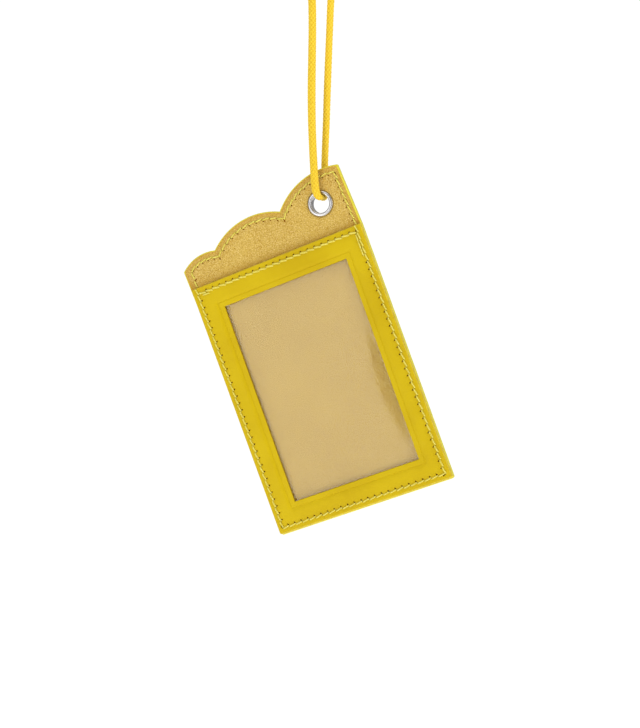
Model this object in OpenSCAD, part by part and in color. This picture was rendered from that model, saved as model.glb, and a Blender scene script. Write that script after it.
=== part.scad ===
// Hanging luggage tag: a sewn leather card holder on a knotted cord.
// Flat pieces are drawn in the tag's own plane, from the eyelet's centre: u to the right, v up the tag.
// They are then leaned and hung below the origin, which is the hook's seat inside the top of the cord.
// The front of the tag faces -Y.

/* [Body] */
// Width of the body, at its bottom
body_w = 69.2; // [60:0.1:90]
// Height of the front frame
body_h = 97; // [92:0.5:120]
// How far the left side leans out at the frame's top
side_lean = 0.5; // [0:0.1:2]
// Radius of the two bottom corners
corner_r = 1; // [0.5:0.5:3]
// How far the two back layers reach below the frame
back_drop = 0.6; // [0.1:0.1:1.5]

/* [Layers] */
// Thickness of the smooth leather at the back
back_t = 1.5; // [1:0.1:2.5]
// Thickness of the suede lining
lining_t = 1.3; // [1:0.1:2.5]
// Thickness of the leather frame, at its sewn edges
frame_t = 1.9; // [1.7:0.1:3]
// Thickness of the clear sheet
sheet_t = 0.3; // [0.2:0.1:0.5]
// Depth of the card pocket in the back of the frame, sheet included
pocket_t = 0.9; // [0.9:0.1:1.2]

/* [Window] */
// Width of the window
window_w = 50; // [40:0.5:52]
// Height of the window
window_h = 77; // [60:0.5:80]
// Leather left of the window
window_left = 9.8; // [9:0.1:12]
// Leather below the window
window_bottom = 9.9; // [9:0.1:12]
// Width of the pocket, which takes a bank or business card
pocket_w = 60; // [57:0.5:61]
// Leather below the pocket
pocket_bottom = 5; // [4:0.5:6]

/* [Flap] */
// Eyelet centre, in from the right edge
eyelet_in = 11.9; // [9:0.1:20]
// Eyelet centre, above the frame
eyelet_up = 12.2; // [10:0.1:14]
// Flap height above the eyelet at the left corner, the two cusps and the right corner
flap_v = [-4.6, -1.2, 3, 11];
// Places of the cusps along the flap, from the left edge
cusp_u = [12.9, 41.75];
// Middles of the three lobes, from the left edge and above the eyelet
crown = [[6.3, -0.85], [26.4, 5.25], [53.3, 10.5]];
// How far the flap's right edge leans in
flap_lean = 1.1; // [0:0.1:2]
// How far the flap spreads past the frame on the left
flap_spread = 1.15; // [0:0.05:2]

/* [Eyelet] */
// Diameter of the eyelet's hole
hole_d = 6.8; // [5:0.2:7]
// Wall of the eyelet's barrel
barrel_wall = 0.35; // [0.3:0.05:0.5]
// Width of the front rim
rim_w = 1.3; // [1.2:0.1:1.6]
// Thickness of the washer behind the flap
washer_t = 0.3; // [0.2:0.1:0.4]
// Outside diameter of the washer
washer_d = 10.4; // [10:0.2:12]

/* [Stitching] */
// Distance of the seam from the frame's edge
seam_inset = 2; // [1.8:0.1:3]
// Distance of the seam from the scalloped edge
flap_inset = 2.6; // [1.8:0.1:3]
// Distance of the upper seam from the frame's top edge
upper_inset = 2.4; // [2:0.1:4]
// Length of one stitch with its needle hole
stitch_pitch = 2.75; // [2.5:0.05:4]
// Thickness of the thread
thread_d = 0.5; // [0.4:0.05:0.6]
// Lean of each stitch out of the seam's line
stitch_lean = 11; // [0:1:15]

/* [Cord] */
// Thickness of the cord
cord_d = 2.8; // [2:0.1:3]
// Width and height of the knot
knot_size = [10, 9];
// Length of the two tails above the knot
tail_l = 11; // [6:1:20]

/* [Hanging] */
// Lean of the tag, to the left at its top, as it hangs from its corner
hang_tilt = 20.7; // [15:0.1:25]

/* [Hidden] */
$fn = 64;
// Overshoot of a cutting solid past the faces that it cuts
cut = 1;
// Height of the hook's seat above the eyelet, as the cord's route below has it
hang_h = 118;
u_left = eyelet_in - body_w;
u_right = eyelet_in;
frame_left = u_left - side_lean;
flap_left = frame_left - flap_spread;
frame_top = -eyelet_up;
frame_bottom = frame_top - body_h;
flap_stack = back_t + lining_t;
y_back = flap_stack / 2;
y_join = y_back - back_t;
y_suede = -flap_stack / 2;
y_front = y_suede - frame_t;
y_pocket = y_suede - pocket_t;
y_sheet = y_pocket + sheet_t;
rim_h = 0.5;
hole_clearance = 0.05;
leather_hole_r = hole_d / 2 + barrel_wall + hole_clearance;
// How far below the frame's top the two back layers start to spread to the flap's width
spread_run = 30;
spread_foot = [frame_left + side_lean * spread_run / body_h, frame_top - spread_run];
// Visible length of one stitch, between its needle holes
stitch_l = stitch_pitch * 0.82;
lobes = 3;

// Corners and cusps of the scalloped edge, left to right
function edge_points() = [
    [flap_left, flap_v[0]],
    [u_left + cusp_u[0], flap_v[1]],
    [u_left + cusp_u[1], flap_v[2]],
    [u_right - flap_lean, flap_v[3]]
];
edge = edge_points();
crowns = [for (c = crown) [u_left + c[0], c[1]]];

// Centre of the circle through three points
function circle_centre(a, b, c) =
    let (d = 2 * (a[0] * (b[1] - c[1]) + b[0] * (c[1] - a[1]) + c[0] * (a[1] - b[1])))
    let (qa = a * a, qb = b * b, qc = c * c)
    [(qa * (b[1] - c[1]) + qb * (c[1] - a[1]) + qc * (a[1] - b[1])) / d,
     (qa * (c[0] - b[0]) + qb * (a[0] - c[0]) + qc * (b[0] - a[0])) / d];
lobe_c = [for (i = [0:lobes - 1]) circle_centre(edge[i], crowns[i], edge[i + 1])];
lobe_r = [for (i = [0:lobes - 1]) norm(edge[i] - lobe_c[i])];

// Upper meeting point of two circles
function meet(c1, r1, c2, r2) =
    let (d = norm(c2 - c1), along = (c2 - c1) / d)
    let (x = (d * d + r1 * r1 - r2 * r2) / (2 * d), h = sqrt(r1 * r1 - x * x))
    c1 + x * along + h * [-along[1], along[0]];
function angle_of(p) = atan2(p[1], p[0]);

// The seam's corners: where the inset lobes meet the inset sides and each other
seam_left = frame_left + seam_inset;
seam_foot = u_left + seam_inset;
seam_right = u_right - seam_inset;
seam_bottom = frame_bottom + seam_inset;
seam_r = [for (r = lobe_r) r - flap_inset];
function on_lobe(i, u) = [u, lobe_c[i][1] + sqrt(pow(seam_r[i], 2) - pow(u - lobe_c[i][0], 2))];
seam_top_right = on_lobe(2, seam_right - flap_lean);
seam_ends = [
    on_lobe(0, seam_left),
    meet(lobe_c[0], seam_r[0], lobe_c[1], seam_r[1]),
    meet(lobe_c[1], seam_r[1], lobe_c[2], seam_r[2]),
    seam_top_right
];

// Stitches as [u, v, direction], evenly spaced along a line or along a lobe
function line_row(a, b) =
    let (n = round(norm(b - a) / stitch_pitch))
    [for (i = [0:n - 1]) let (p = a + (b - a) * (i + 0.5) / n) [p[0], p[1], angle_of(b - a)]];
function lobe_row(i) =
    let (a0 = angle_of(seam_ends[i] - lobe_c[i]), a1 = angle_of(seam_ends[i + 1] - lobe_c[i]))
    let (n = round(seam_r[i] * abs(a1 - a0) * PI / 180 / stitch_pitch))
    [for (k = [0:n - 1]) let (a = a0 + (a1 - a0) * (k + 0.5) / n)
        [lobe_c[i][0] + seam_r[i] * cos(a), lobe_c[i][1] + seam_r[i] * sin(a), a - 90]];
frame_rows = concat(
    line_row([seam_left, frame_top], [seam_foot, seam_bottom]),
    line_row([seam_foot, seam_bottom], [seam_right, seam_bottom]),
    line_row([seam_right, seam_bottom], [seam_right, frame_top])
);
flap_rows = concat(
    line_row(seam_ends[0], [seam_left, frame_top]),
    [for (i = [0:lobes - 1]) each lobe_row(i)],
    line_row([seam_right, frame_top], seam_top_right)
);
upper_v = frame_top - upper_inset;
upper_row = line_row([seam_left + thread_d, upper_v], [seam_right - thread_d, upper_v]);
// Back-stitches that lock the upper seam's two ends, beside the seams
lock_gap = 1.6 * thread_d;
lock_left = [seam_left + 2 * lock_gap, upper_v - lock_gap];
lock_right = [seam_right - lock_gap, upper_v - lock_gap];
lock_rows = concat(
    line_row(lock_left, lock_left + [stitch_pitch, 0]),
    line_row(lock_right - [0, 3 * stitch_pitch], lock_right)
);

// Route of the cord's centre line, from the knot down the front strand, through the eyelet and up
route = [
    [-1.4, 0, 8], [-3.3, 0, 4], [-5, 0, 0], [-6, 0, -5], [-6.2, 0, -10],
    [-6, 0, -16], [-5.6, -0.2, -22], [-5, -0.5, -28],
    [-4, -1, -36], [-3.1, -1.4, -45], [-2.8, -1.9, -55], [-2.8, -2.4, -66], [-2.8, -2.9, -77],
    [-2.6, -3.3, -88], [-2.2, -3.6, -97], [-1.8, -3.7, -104], [-1.5, -3.7, -109],
    [-1.2, -3.8, -112], [-0.9, -3.7, -113.7], [-0.4, -3.1, -115.5], [0, -1.7, -116.4],
    [0, 0.2, -116.6],
    [0, 2.1, -116.4], [0.1, 3.5, -115.5], [0.2, 4.2, -113.7], [0.2, 4.3, -112],
    [0.1, 4.2, -109], [0.1, 4.1, -104], [0.4, 3.9, -97], [0.9, 3.5, -88],
    [1.4, 3, -77], [2, 2.4, -66], [2.6, 1.9, -55], [3.2, 1.4, -45], [4.1, 1, -36],
    [5, 0.5, -28], [5.6, 0.2, -22], [6, 0, -16],
    [6.2, 0, -10], [6, 0, -5], [5, 0, 0], [3.3, 0, 4], [1.4, 0, 8]
];
last = len(route) - 1;
// Rings at which the two strands pass from the hook's end to the flexing stretch, and from it to the drop
flex_from = 5;
flex_to = 7;
cord_sides = 8;
knot_z = 12;

function unit(v) = v / norm(v);
function ahead(i) = unit(route[min(i + 1, last)] - route[max(i - 1, 0)]);
function ring(i) =
    let (t = ahead(i), across = unit(cross(t, [1, 0, 0])), side = cross(t, across))
    [for (k = [0:cord_sides - 1]) let (a = (k + 0.5) * 360 / cord_sides)
        route[i] + cord_d / 2 * (cos(a) * across + sin(a) * side)];

// One closed tube between two rings of the route
module tube(first, end) {
    n = end - first;
    points = [for (i = [first:end]) each ring(i)];
    sides = [for (i = [0:n - 1], k = [0:cord_sides - 1])
        let (a = i * cord_sides + k, b = i * cord_sides + (k + 1) % cord_sides)
        [a, a + cord_sides, b + cord_sides, b]];
    start_cap = [[for (k = [0:cord_sides - 1]) k]];
    end_cap = [[for (k = [cord_sides - 1:-1:0]) n * cord_sides + k]];
    polyhedron(points, concat(start_cap, sides, end_cap), convexity = 4);
}

// Places a flat drawing between two depths of the tag
module sheet(y_from, thickness) {
    translate([0, y_from, 0]) rotate([90, 0, 0]) linear_extrude(thickness) children();
}

// Hangs what is drawn around the eyelet's centre below the hook
module hang() {
    translate([0, 0, -hang_h]) rotate([0, -hang_tilt, 0]) children();
}

// A straight-sided shape on the body's two round bottom corners, with its left and right sides given upwards
module on_corners(bottom, left, right) {
    r = corner_r;
    translate([u_left, bottom]) {
        translate([r, 0]) square([body_w - 2 * r, 2 * r]);
        for (x = [r, body_w - r]) translate([x, r]) circle(r);
    }
    polygon(concat([[u_left, bottom + r], [u_right, bottom + r]], right, [for (i = [len(left) - 1:-1:0]) left[i]]));
}

module frame_outline() {
    on_corners(frame_bottom, [[frame_left, frame_top]], [[u_right, frame_top]]);
}

// Outline of the two back layers: the sides run on past the flap's corners, and the three lobes end them
module back_outline() {
    below_cusp = [0, -2];
    far = 2 * body_w;
    left_rise = edge[0] - spread_foot;
    right_rise = edge[3] - [u_right, frame_top];
    intersection() {
        on_corners(frame_bottom - back_drop, [spread_foot, edge[0] + left_rise],
            [[u_right, frame_top], edge[3] + right_rise]);
        union() {
            polygon([[-far, -far], [far, -far], [far, lobe_c[2][1]], edge[2] + below_cusp,
                edge[1] + below_cusp, [-far, lobe_c[0][1]]]);
            for (i = [0:lobes - 1]) translate(lobe_c[i]) circle(lobe_r[i], $fn = 128);
        }
    }
}

module back_panel() {
    color("#d6b810") hang() sheet(y_back, back_t) difference() {
        back_outline();
        circle(leather_hole_r);
    }
}

module suede_lining() {
    color("#cfb060") hang() sheet(y_join, lining_t) difference() {
        back_outline();
        circle(leather_hole_r);
    }
}

module front_frame() {
    pocket_u = u_left + (body_w - pocket_w) / 2;
    pocket_v = frame_bottom + pocket_bottom;
    color("#d6b810") hang() difference() {
        sheet(y_suede, frame_t) frame_outline();
        sheet(y_suede + cut, frame_t + 2 * cut)
            translate([u_left + window_left, frame_bottom + window_bottom]) square([window_w, window_h]);
        sheet(y_suede + cut, pocket_t + cut)
            translate([pocket_u, pocket_v]) square([pocket_w, body_h]);
    }
}

module window_sheet() {
    inset = 0.5;
    sheet_w = pocket_w - 2 * inset;
    sheet_u = u_left + (body_w - sheet_w) / 2;
    sheet_v = frame_bottom + pocket_bottom + inset;
    color("#e8e0c8", 0.4) hang() sheet(y_sheet, sheet_t)
        translate([sheet_u, sheet_v]) square([sheet_w, frame_top - sheet_v - inset]);
}

// Barrel with its domed front rim and the end rolled over the washer
module eyelet_barrel() {
    hole_r = hole_d / 2;
    rim_r = (pow(rim_w / 2, 2) + pow(rim_h, 2)) / (2 * rim_h);
    roll_h = 0.4;
    roll_w = 1.1;
    roll_r = (pow(roll_w / 2, 2) + pow(roll_h, 2)) / (2 * roll_h);
    roll_base = y_back + washer_t;
    color("silver") hang() rotate([90, 0, 0]) rotate_extrude($fn = 96) {
        translate([hole_r, -roll_base]) square([barrel_wall, roll_base - y_suede]);
        intersection() {
            translate([hole_r + rim_w / 2, -y_suede + rim_h - rim_r]) circle(rim_r);
            translate([hole_r, -y_suede]) square([rim_w, rim_h]);
        }
        intersection() {
            translate([hole_r + roll_w / 2, -roll_base - roll_h + roll_r]) circle(roll_r);
            translate([hole_r, -roll_base - roll_h]) square([roll_w, roll_h]);
        }
    }
}

module eyelet_washer() {
    color("gainsboro") hang() sheet(y_back + washer_t, washer_t) difference() {
        circle(d = washer_d);
        circle(leather_hole_r);
    }
}

// Stitches lying on a face, as separate lengths of thread
module stitches(rows, y, lean) {
    for (s = rows)
        translate([s[0], y, s[1]]) rotate([0, 90 - s[2] - lean, 0])
            cylinder(h = stitch_l, d = thread_d, center = true, $fn = 16);
}

module perimeter_thread_front() {
    color("#e4d85a") hang() {
        stitches(frame_rows, y_front - thread_d / 2, stitch_lean);
        stitches(flap_rows, y_suede - thread_d / 2, stitch_lean);
    }
}

module perimeter_thread_back() {
    color("#e4d85a") hang() stitches(concat(frame_rows, flap_rows), y_back + thread_d / 2, -stitch_lean);
}

module upper_thread_front() {
    color("#e4d85a") hang() {
        stitches(upper_row, y_front - thread_d / 2, -stitch_lean);
        stitches(lock_rows, y_front - thread_d / 2, 0);
    }
}

module upper_thread_back() {
    inner = [for (s = upper_row) if (abs(s[0] - (u_left + u_right) / 2) < (pocket_w - stitch_pitch) / 2) s];
    color("#e4d85a") hang() stitches(inner, y_sheet + thread_d / 2, stitch_lean);
}

module cord_drop() {
    color("#f0c828") tube(flex_to, last - flex_to);
}

module cord_flex() {
    color("#f0c828") {
        tube(flex_from, flex_to);
        tube(last - flex_to, last - flex_from);
    }
}

module cord_hook_end() {
    color("#f0c828") {
        tube(0, flex_from);
        tube(last - flex_from, last);
    }
}

// Overhand knot as a plain round-edged drum, with the cord's two ends standing above it
module cord_knot() {
    r = knot_size[0] / 2;
    h = knot_size[1];
    color("#f0c828") {
        translate([0, 0, knot_z]) rotate_extrude() intersection() {
            square([2 * r, 2 * h], center = true);
            union() {
                translate([0, -h / 2 + cord_d / 2]) square([r, h - cord_d]);
                translate([0, -h / 2]) square([r - cord_d / 2, h]);
                for (z = [-1, 1]) translate([r - cord_d / 2, z * (h - cord_d) / 2]) circle(cord_d / 2);
            }
            translate([0, -h]) square([2 * r, 2 * h]);
        }
        for (side = [-1, 1])
            translate([side * cord_d * 0.6, 0, knot_z + h / 2 - cut]) rotate([0, side * 14, 0])
                cylinder(h = tail_l + cut, d = cord_d, $fn = 24);
    }
}

back_panel();
suede_lining();
front_frame();
window_sheet();
eyelet_barrel();
eyelet_washer();
perimeter_thread_front();
perimeter_thread_back();
upper_thread_front();
upper_thread_back();
cord_drop();
cord_flex();
cord_hook_end();
cord_knot();
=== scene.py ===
"""Looks of the hanging luggage tag: sewn leather, suede, clear sheet, eyelet, thread and braided cord.

Flat pieces are drawn in the tag's own plane in millimetres, from the eyelet's centre: u to the right,
v up the tag, and depth y towards the back. TAG_PLANE takes them into the row frame, in metres.
"""

import math
import random

import bmesh
import bpy
import numpy as np
from mathutils import Matrix, Quaternion, Vector, kdtree
from mathutils.geometry import delaunay_2d_cdt


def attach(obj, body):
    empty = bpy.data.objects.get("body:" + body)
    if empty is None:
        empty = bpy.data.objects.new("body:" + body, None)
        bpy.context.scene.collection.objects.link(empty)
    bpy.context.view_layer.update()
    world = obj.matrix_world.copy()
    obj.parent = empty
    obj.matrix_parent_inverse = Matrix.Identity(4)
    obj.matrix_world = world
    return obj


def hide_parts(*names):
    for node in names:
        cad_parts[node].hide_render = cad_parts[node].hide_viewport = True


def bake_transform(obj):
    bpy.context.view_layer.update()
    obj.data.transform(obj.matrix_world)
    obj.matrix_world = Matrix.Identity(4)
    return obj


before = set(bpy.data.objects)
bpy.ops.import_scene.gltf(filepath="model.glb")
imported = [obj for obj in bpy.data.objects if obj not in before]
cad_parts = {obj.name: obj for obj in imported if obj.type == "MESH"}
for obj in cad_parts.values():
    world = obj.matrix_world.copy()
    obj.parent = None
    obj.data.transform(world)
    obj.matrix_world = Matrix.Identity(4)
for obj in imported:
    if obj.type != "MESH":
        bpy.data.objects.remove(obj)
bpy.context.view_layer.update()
random.seed(7)

MM = 0.001

# --- the tag's dimensions, in millimetres -------------------------------------------------------------
# They are part.scad's, except that CORNER_R is 1.0 and THREAD_R 0.25 there.
HANG_H = 118.0
HANG_TILT = 20.7
BODY_W, BODY_H, CORNER_R, BACK_DROP = 69.2, 97.0, 0.6, 0.6
SIDE_LEAN, FLAP_SPREAD, SPREAD_RUN, FLAP_LEAN = 0.5, 1.15, 30.0, 1.1
EYELET_IN, EYELET_UP = 11.9, 12.2
BACK_T, LINING_T, FRAME_T, SHEET_T, POCKET_T = 1.5, 1.3, 1.9, 0.3, 0.9
WINDOW_W, WINDOW_H, WINDOW_LEFT, WINDOW_BOTTOM = 50.0, 77.0, 9.8, 9.9
POCKET_W, POCKET_BOTTOM = 60.0, 5.0
HOLE_R, BARREL_WALL, RIM_W, RIM_H = 3.4, 0.35, 1.3, 0.5
WASHER_T, WASHER_R, ROLL_W, ROLL_H = 0.3, 5.2, 1.1, 0.4
SEAM_INSET, FLAP_INSET, UPPER_INSET = 2.0, 2.6, 2.4
PITCH, THREAD_R, LEAN = 2.75, 0.27, 11.0
CORD_D = 2.8
KNOT_Z, KNOT_W, KNOT_H, TAIL_L = 12.0, 10.0, 9.0, 11.0

U_LEFT, U_RIGHT = EYELET_IN - BODY_W, EYELET_IN
FRAME_LEFT = U_LEFT - SIDE_LEAN
FLAP_LEFT = FRAME_LEFT - FLAP_SPREAD
FRAME_TOP = -EYELET_UP
FRAME_BOTTOM = FRAME_TOP - BODY_H
# The left edge of the two back layers leaves the frame's line here and leans out to the flap's corner
SPREAD_FOOT = (FRAME_LEFT + SIDE_LEAN * SPREAD_RUN / BODY_H, FRAME_TOP - SPREAD_RUN)
Y_BACK = (BACK_T + LINING_T) / 2
Y_JOIN = Y_BACK - BACK_T
Y_SUEDE = -Y_BACK
Y_FRONT = Y_SUEDE - FRAME_T
Y_POCKET = Y_SUEDE - POCKET_T
Y_SHEET = Y_POCKET + SHEET_T
# Boxes as (u, v, width, height)
WINDOW = (U_LEFT + WINDOW_LEFT, FRAME_BOTTOM + WINDOW_BOTTOM, WINDOW_W, WINDOW_H)
POCKET = (U_LEFT + (BODY_W - POCKET_W) / 2, FRAME_BOTTOM + POCKET_BOTTOM, POCKET_W, BODY_H)
BACK_LOW, BACK_HIGH = FRAME_BOTTOM - BACK_DROP, 12.0
BACK_BOX = (U_LEFT, BACK_LOW, BODY_W, BACK_HIGH - BACK_LOW)
# The hole through the two back layers, a little wider than the eyelet's barrel
LEATHER_HOLE_R = HOLE_R + BARREL_WALL + 0.05

# Corners and cusps of the scalloped edge, and the middles of its lobes, left to right
EDGE = [(FLAP_LEFT, -4.6), (U_LEFT + 12.9, -1.2), (U_LEFT + 41.75, 3.0), (U_RIGHT - FLAP_LEAN, 11.0)]
CROWN = [(U_LEFT + 6.3, -0.85), (U_LEFT + 26.4, 5.25), (U_LEFT + 53.3, 10.5)]

# The cord's route in the row frame, in millimetres, as part.scad has it
ROUTE = [
    (-1.4, 0, 8), (-3.3, 0, 4), (-5, 0, 0), (-6, 0, -5), (-6.2, 0, -10),
    (-6, 0, -16), (-5.6, -0.2, -22), (-5, -0.5, -28),
    (-4, -1, -36), (-3.1, -1.4, -45), (-2.8, -1.9, -55), (-2.8, -2.4, -66), (-2.8, -2.9, -77),
    (-2.6, -3.3, -88), (-2.2, -3.6, -97), (-1.8, -3.7, -104), (-1.5, -3.7, -109),
    (-1.2, -3.8, -112), (-0.9, -3.7, -113.7), (-0.4, -3.1, -115.5), (0, -1.7, -116.4),
    (0, 0.2, -116.6),
    (0, 2.1, -116.4), (0.1, 3.5, -115.5), (0.2, 4.2, -113.7), (0.2, 4.3, -112),
    (0.1, 4.2, -109), (0.1, 4.1, -104), (0.4, 3.9, -97), (0.9, 3.5, -88),
    (1.4, 3, -77), (2, 2.4, -66), (2.6, 1.9, -55), (3.2, 1.4, -45), (4.1, 1, -36),
    (5, 0.5, -28), (5.6, 0.2, -22), (6, 0, -16),
    (6.2, 0, -10), (6, 0, -5), (5, 0, 0), (3.3, 0, 4), (1.4, 0, 8),
]
# Height of the top of the eyelet's hole, on which the tag hangs
HOLE_TOP = HOLE_R - HANG_H

TAG_PLANE = (
    Matrix.Translation((0, 0, -HANG_H * MM))
    @ Matrix.Rotation(math.radians(-HANG_TILT), 4, "Y")
    @ Matrix.Scale(MM, 4)
)
ROW_MM = Matrix.Scale(MM, 4)


# --- meshes ------------------------------------------------------------------------------------------
def piece(name, body, slot, verts, faces, materials, matrix=ROW_MM, face_material=None, sharp=40.0):
    """A mesh object from points in millimetres, riding on a body of the frame. body None leaves it free."""
    mesh = bpy.data.meshes.new(name)
    mesh.from_pydata([tuple(v) for v in verts], [], [tuple(f) for f in faces])
    mesh.transform(matrix)
    for m in materials:
        mesh.materials.append(m)
    if face_material is not None:
        mesh.polygons.foreach_set("material_index", np.array(face_material, dtype=np.int32))
    bm = bmesh.new()
    bm.from_mesh(mesh)
    bmesh.ops.recalc_face_normals(bm, faces=bm.faces)
    bm.to_mesh(mesh)
    bm.free()
    mesh.polygons.foreach_set("use_smooth", [True] * len(mesh.polygons))
    mesh.set_sharp_from_angle(angle=math.radians(sharp))
    made = bpy.data.objects.new(name, mesh)
    bpy.context.scene.collection.objects.link(made)
    if body:
        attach(made, body)
    return made


def float_layer(made, name, values):
    """Stores one number a vertex, for a material to read."""
    layer = made.data.attributes.new(name, "FLOAT", "POINT")
    layer.data.foreach_set("value", np.array(values, dtype=np.float32))


def smooth_line(points, step):
    """Catmull-Rom curve through the points, resampled to even steps."""
    p = np.array(points, dtype=float)
    p = np.vstack([2 * p[0] - p[1], p, 2 * p[-1] - p[-2]])
    out = []
    for i in range(1, len(p) - 2):
        for t in np.linspace(0, 1, 24, endpoint=False):
            a = -p[i - 1] + 3 * p[i] - 3 * p[i + 1] + p[i + 2]
            b = 2 * p[i - 1] - 5 * p[i] + 4 * p[i + 1] - p[i + 2]
            out.append(0.5 * (a * t**3 + b * t**2 + (p[i + 1] - p[i - 1]) * t + 2 * p[i]))
    out = np.array(out + [p[-2]])
    along = np.concatenate([[0], np.cumsum(np.linalg.norm(np.diff(out, axis=0), axis=1))])
    even = np.linspace(0, along[-1], max(2, round(along[-1] / step) + 1))
    return np.stack([np.interp(even, along, out[:, k]) for k in range(3)], axis=1)


def frames_along(line):
    """Tangents and two normals that turn as little as possible along a line."""
    tangent = np.gradient(line, axis=0)
    tangent /= np.linalg.norm(tangent, axis=1)[:, None]
    side = np.cross(tangent[0], (0.0, 1.0, 0.0))
    if np.linalg.norm(side) < 0.1:
        side = np.cross(tangent[0], (1.0, 0.0, 0.0))
    sides = []
    for t in tangent:
        side = side - t * (side @ t)
        side = side / np.linalg.norm(side)
        sides.append(side)
    sides = np.array(sides)
    return tangent, sides, np.cross(tangent, sides)


def tube(line, radius, sides):
    """Vertices and faces of a closed tube. radius(angle, distance) gives its surface, in arrays."""
    _, side, up = frames_along(line)
    step = np.linalg.norm(np.diff(line, axis=0), axis=1)
    distance = np.concatenate([[0], np.cumsum(step)])
    angle = np.arange(sides) * 2 * math.pi / sides
    r = radius(angle[None, :], distance[:, None])
    ring = r[..., None] * (
        np.cos(angle)[None, :, None] * side[:, None] + np.sin(angle)[None, :, None] * up[:, None]
    )
    verts = (line[:, None] + ring).reshape(-1, 3)
    rings = len(line)
    k = np.arange(sides)
    faces = []
    for i in range(rings - 1):
        a, b = i * sides + k, i * sides + (k + 1) % sides
        faces.extend(np.stack([a, b, b + sides, a + sides], axis=1).tolist())
    first, last = len(verts), len(verts) + 1
    verts = np.vstack([verts, line[0], line[-1]])
    faces.extend([[first, int((i + 1) % sides), int(i)] for i in k])
    base = (rings - 1) * sides
    faces.extend([[last, int(base + i), int(base + (i + 1) % sides)] for i in k])
    return verts, faces


def merge(parts):
    """Joins several (vertices, faces) into one."""
    verts, faces, start = [], [], 0
    for v, f in parts:
        verts.append(np.asarray(v))
        faces.extend([[i + start for i in face] for face in f])
        start += len(v)
    return np.vstack(verts), faces


# --- materials ---------------------------------------------------------------------------------------
def srgb(r, g, b):
    """Linear colour from eight-bit display values."""
    return tuple(((c / 255 + 0.055) / 1.055) ** 2.4 if c > 10 else c / 3294 for c in (r, g, b)) + (1.0,)


class Shader:
    """A Principled material with a small chain of procedural nodes."""

    def __init__(self, name, **sockets):
        self.material = bpy.data.materials.new(name)
        self.material.use_nodes = True
        self.tree = self.material.node_tree
        self.principled = self.tree.nodes["Principled BSDF"]
        for key, value in sockets.items():
            self.principled.inputs[key.replace("_", " ")].default_value = value
        self.place = self.add("ShaderNodeTexCoord").outputs["Object"]

    def add(self, kind, **inputs):
        node = self.tree.nodes.new(kind)
        for key, value in inputs.items():
            self.feed(node.inputs[key.replace("_", " ")], value)
        return node

    def feed(self, socket, value):
        if isinstance(value, bpy.types.NodeSocket):
            self.tree.links.new(value, socket)
        else:
            socket.default_value = value

    def noise(self, scale, detail=3.0, roughness=0.55, stretch=None):
        place = self.place
        if stretch:
            mapping = self.add("ShaderNodeMapping", Vector=place)
            mapping.inputs["Scale"].default_value = stretch
            mapping.inputs["Rotation"].default_value = (0, math.radians(HANG_TILT), 0)
            place = mapping.outputs["Vector"]
        node = self.add("ShaderNodeTexNoise", Vector=place, Scale=scale, Detail=detail, Roughness=roughness)
        return node.outputs["Fac"]

    def cells(self, scale):
        return self.add("ShaderNodeTexVoronoi", Vector=self.place, Scale=scale).outputs["Distance"]

    def ramp(self, value, low, high, start=0.0, end=1.0):
        node = self.add("ShaderNodeMapRange", Value=value)
        node.inputs["From Min"].default_value = start
        node.inputs["From Max"].default_value = end
        node.inputs["To Min"].default_value = low
        node.inputs["To Max"].default_value = high
        return node.outputs["Result"]

    def mix(self, factor, a, b):
        node = self.tree.nodes.new("ShaderNodeMix")
        node.data_type = "RGBA"
        self.feed(node.inputs[0], factor)
        self.feed(node.inputs[6], a)
        self.feed(node.inputs[7], b)
        return node.outputs[2]

    def math(self, operation, a, b=0.0):
        node = self.tree.nodes.new("ShaderNodeMath")
        node.operation = operation
        self.feed(node.inputs[0], a)
        self.feed(node.inputs[1], b)
        return node.outputs[0]

    def attribute(self, name):
        node = self.tree.nodes.new("ShaderNodeAttribute")
        node.attribute_name = name
        return node.outputs["Fac"]

    def bump(self, height, strength, distance, before=None):
        node = self.add("ShaderNodeBump", Height=height, Strength=strength, Distance=distance)
        if before is not None:
            self.tree.links.new(before, node.inputs["Normal"])
        return node.outputs["Normal"]

    def set(self, **links):
        for key, value in links.items():
            self.feed(self.principled.inputs[key.replace("_", " ")], value)
        return self.material


def grain_leather(name, colour, deep):
    """Smooth pressed leather: fine pores, faint cloudiness and a satin finish."""
    s = Shader(name, Roughness=0.5, Specular_IOR_Level=0.11)
    cloud = s.noise(60.0, 3.0)
    base = s.mix(s.ramp(cloud, 0.0, 1.0, 0.35, 0.7), colour, deep)
    pores = s.cells(2600.0)
    base = s.mix(s.ramp(pores, 0.1, 0.0, 0.0, 0.3), base, deep)
    rough = s.ramp(s.noise(900.0, 4.0), 0.44, 0.56, 0.3, 0.7)
    bumps = s.bump(pores, 0.08, 0.00005)
    bumps = s.bump(s.noise(260.0, 3.0), 0.08, 0.0002, bumps)
    return s.set(Base_Color=base, Roughness=rough, Normal=bumps)


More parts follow.
